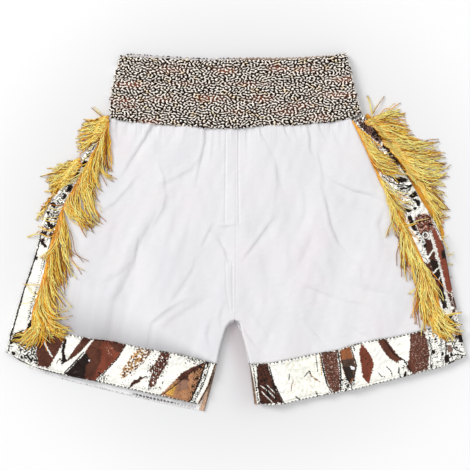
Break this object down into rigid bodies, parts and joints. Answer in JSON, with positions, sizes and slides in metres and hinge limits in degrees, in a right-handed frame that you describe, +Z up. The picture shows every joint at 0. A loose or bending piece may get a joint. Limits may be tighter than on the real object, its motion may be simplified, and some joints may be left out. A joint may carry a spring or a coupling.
{
  "type": "boxing shorts",
  "caption": "Boxing shorts lying flat: white satin legs, shirred metallic waistband, metallic side stripes and hem bands, yellow fringe along both edges of each stripe.",
  "frame": {"origin": "on the surface the shorts lie on, under the middle of their width and length", "axes": "+X across the shorts towards the right-hand side seen from the front, +Y from the hems to the waist, +Z up out of the front"},
  "size_m": [0.6464, 0.5038, 0.0129],
  "materials": {
    "satin": "white polyester satin, soft sheen",
    "waist_foil": "gold and brown metallic foil cloth, shirred into rows",
    "hem_foil": "gold and brown mirror foil cloth with a crumpled sheen",
    "stripe_foil": "gold and brown mirror foil cloth with a crumpled sheen",
    "lining": "plain white cotton backing, matte",
    "elastic": "white woven elastic, matte",
    "header_tape": "yellow woven header tape",
    "fringe": "glossy yellow twisted rayon strands"
  },
  "bodies": {
    "shorts": {"waistband_front_shell": "waist_foil", "waistband_back_shell": "waist_foil", "waistband_front_lining": "lining", "waistband_back_lining": "lining", "waistband_elastic": "elastic", "front_panel_left": "satin", "front_panel_right": "satin", "back_panel_left": "satin", "back_panel_right": "satin", "hem_band_left_front": "hem_foil", "hem_lining_left_front": "lining", "fringe_tape_left_front": "header_tape", "hem_band_left_back": "hem_foil", "hem_lining_left_back": "lining", "fringe_tape_left_back": "header_tape", "side_stripe_left": "stripe_foil", "hem_band_right_front": "hem_foil", "hem_lining_right_front": "lining", "fringe_tape_right_front": "header_tape", "hem_band_right_back": "hem_foil", "hem_lining_right_back": "lining", "fringe_tape_right_back": "header_tape", "side_stripe_right": "stripe_foil"},
    "fringe_left_front_1": {"fringe_left_front_1": "fringe"},
    "fringe_left_front_2": {"fringe_left_front_2": "fringe"},
    "fringe_left_front_3": {"fringe_left_front_3": "fringe"},
    "fringe_left_front_4": {"fringe_left_front_4": "fringe"},
    "fringe_left_front_end": {"fringe_left_front_end": "fringe"},
    "fringe_right_front_1": {"fringe_right_front_1": "fringe"},
    "fringe_right_front_2": {"fringe_right_front_2": "fringe"},
    "fringe_right_front_3": {"fringe_right_front_3": "fringe"},
    "fringe_right_front_4": {"fringe_right_front_4": "fringe"},
    "fringe_right_front_end": {"fringe_right_front_end": "fringe"},
    "fringe_left_back_1": {"fringe_left_back_1": "fringe"},
    "fringe_left_back_2": {"fringe_left_back_2": "fringe"},
    "fringe_left_back_3": {"fringe_left_back_3": "fringe"},
    "fringe_left_back_4": {"fringe_left_back_4": "fringe"},
    "fringe_right_back_1": {"fringe_right_back_1": "fringe"},
    "fringe_right_back_2": {"fringe_right_back_2": "fringe"},
    "fringe_right_back_3": {"fringe_right_back_3": "fringe"},
    "fringe_right_back_4": {"fringe_right_back_4": "fringe"}
  },
  "joints": [
    {"name": "fringe_left_front_1_swing", "type": "hinge", "parent": "shorts", "child": "fringe_left_front_1", "pos_m": [-0.1946, 0.11961, 0.01145], "axis": [-0.4696, -0.8829, 0], "range_deg": [0, 90]},
    {"name": "fringe_left_front_2_swing", "type": "hinge", "parent": "shorts", "child": "fringe_left_front_2", "pos_m": [-0.2282, 0.05731, 0.01145], "axis": [-0.4936, -0.8697, 0], "range_deg": [0, 90]},
    {"name": "fringe_left_front_3_swing", "type": "hinge", "parent": "shorts", "child": "fringe_left_front_3", "pos_m": [-0.25375, -0.00989, 0.01145], "axis": [-0.2593, -0.9658, 0], "range_deg": [0, 90]},
    {"name": "fringe_left_front_4_swing", "type": "hinge", "parent": "shorts", "child": "fringe_left_front_4", "pos_m": [-0.27335, -0.08059, 0.01145], "axis": [-0.2701, -0.9628, 0], "range_deg": [0, 90]},
    {"name": "fringe_left_front_end_swing", "type": "hinge", "parent": "shorts", "child": "fringe_left_front_end", "pos_m": [-0.2779, -0.12329, 0.01145], "axis": [-0.9874, 0.158, 0], "range_deg": [0, 75]},
    {"name": "fringe_right_front_1_swing", "type": "hinge", "parent": "shorts", "child": "fringe_right_front_1", "pos_m": [0.18375, 0.11401, 0.01145], "axis": [0.4084, -0.9128, 0], "range_deg": [0, 90]},
    {"name": "fringe_right_front_2_swing", "type": "hinge", "parent": "shorts", "child": "fringe_right_front_2", "pos_m": [0.21875, 0.04121, 0.01145], "axis": [-0.4973, 0.8676, 0], "range_deg": [0, 90]},
    {"name": "fringe_right_front_3_swing", "type": "hinge", "parent": "shorts", "child": "fringe_right_front_3", "pos_m": [0.25235, -0.02669, 0.01145], "axis": [-0.4185, 0.9082, 0], "range_deg": [0, 90]},
    {"name": "fringe_right_front_4_swing", "type": "hinge", "parent": "shorts", "child": "fringe_right_front_4", "pos_m": [0.2765, -0.08619, 0.01145], "axis": [-0.326, 0.9454, 0], "range_deg": [0, 90]},
    {"name": "fringe_right_front_end_swing", "type": "hinge", "parent": "shorts", "child": "fringe_right_front_end", "pos_m": [0.294, -0.11279, 0.01145], "axis": [-0.9908, -0.1351, 0], "range_deg": [0, 75]},
    {"name": "fringe_left_back_1_swing", "type": "hinge", "parent": "shorts", "child": "fringe_left_back_1", "pos_m": [-0.20195, 0.14061, 0.00095], "axis": [0.5277, 0.8494, 0], "range_deg": [0, 90]},
    {"name": "fringe_left_back_2_swing", "type": "hinge", "parent": "shorts", "child": "fringe_left_back_2", "pos_m": [-0.2422, 0.08251, 0.00095], "axis": [0.5735, 0.8192, 0], "range_deg": [0, 90]},
    {"name": "fringe_left_back_3_swing", "type": "hinge", "parent": "shorts", "child": "fringe_left_back_3", "pos_m": [-0.2688, 0.04121, 0.00095], "axis": [0.5087, 0.8609, 0], "range_deg": [0, 90]},
    {"name": "fringe_left_back_4_swing", "type": "hinge", "parent": "shorts", "child": "fringe_left_back_4", "pos_m": [-0.2835, -0.08269, 0.00095], "axis": [-0.2676, -0.9635, 0], "range_deg": [0, 80]},
    {"name": "fringe_right_back_1_swing", "type": "hinge", "parent": "shorts", "child": "fringe_right_back_1", "pos_m": [0.2044, 0.14691, 0.00095], "axis": [0.5865, -0.8099, 0], "range_deg": [0, 90]},
    {"name": "fringe_right_back_2_swing", "type": "hinge", "parent": "shorts", "child": "fringe_right_back_2", "pos_m": [0.2401, 0.09756, 0.00095], "axis": [0.5651, -0.825, 0], "range_deg": [0, 90]},
    {"name": "fringe_right_back_3_swing", "type": "hinge", "parent": "shorts", "child": "fringe_right_back_3", "pos_m": [0.27475, 0.04331, 0.00095], "axis": [0.5125, -0.8587, 0], "range_deg": [0, 90]},
    {"name": "fringe_right_back_4_swing", "type": "hinge", "parent": "shorts", "child": "fringe_right_back_4", "pos_m": [0.29225, -0.08549, 0.00095], "axis": [-0.1808, 0.9835, 0], "range_deg": [0, 80]}
  ]
}
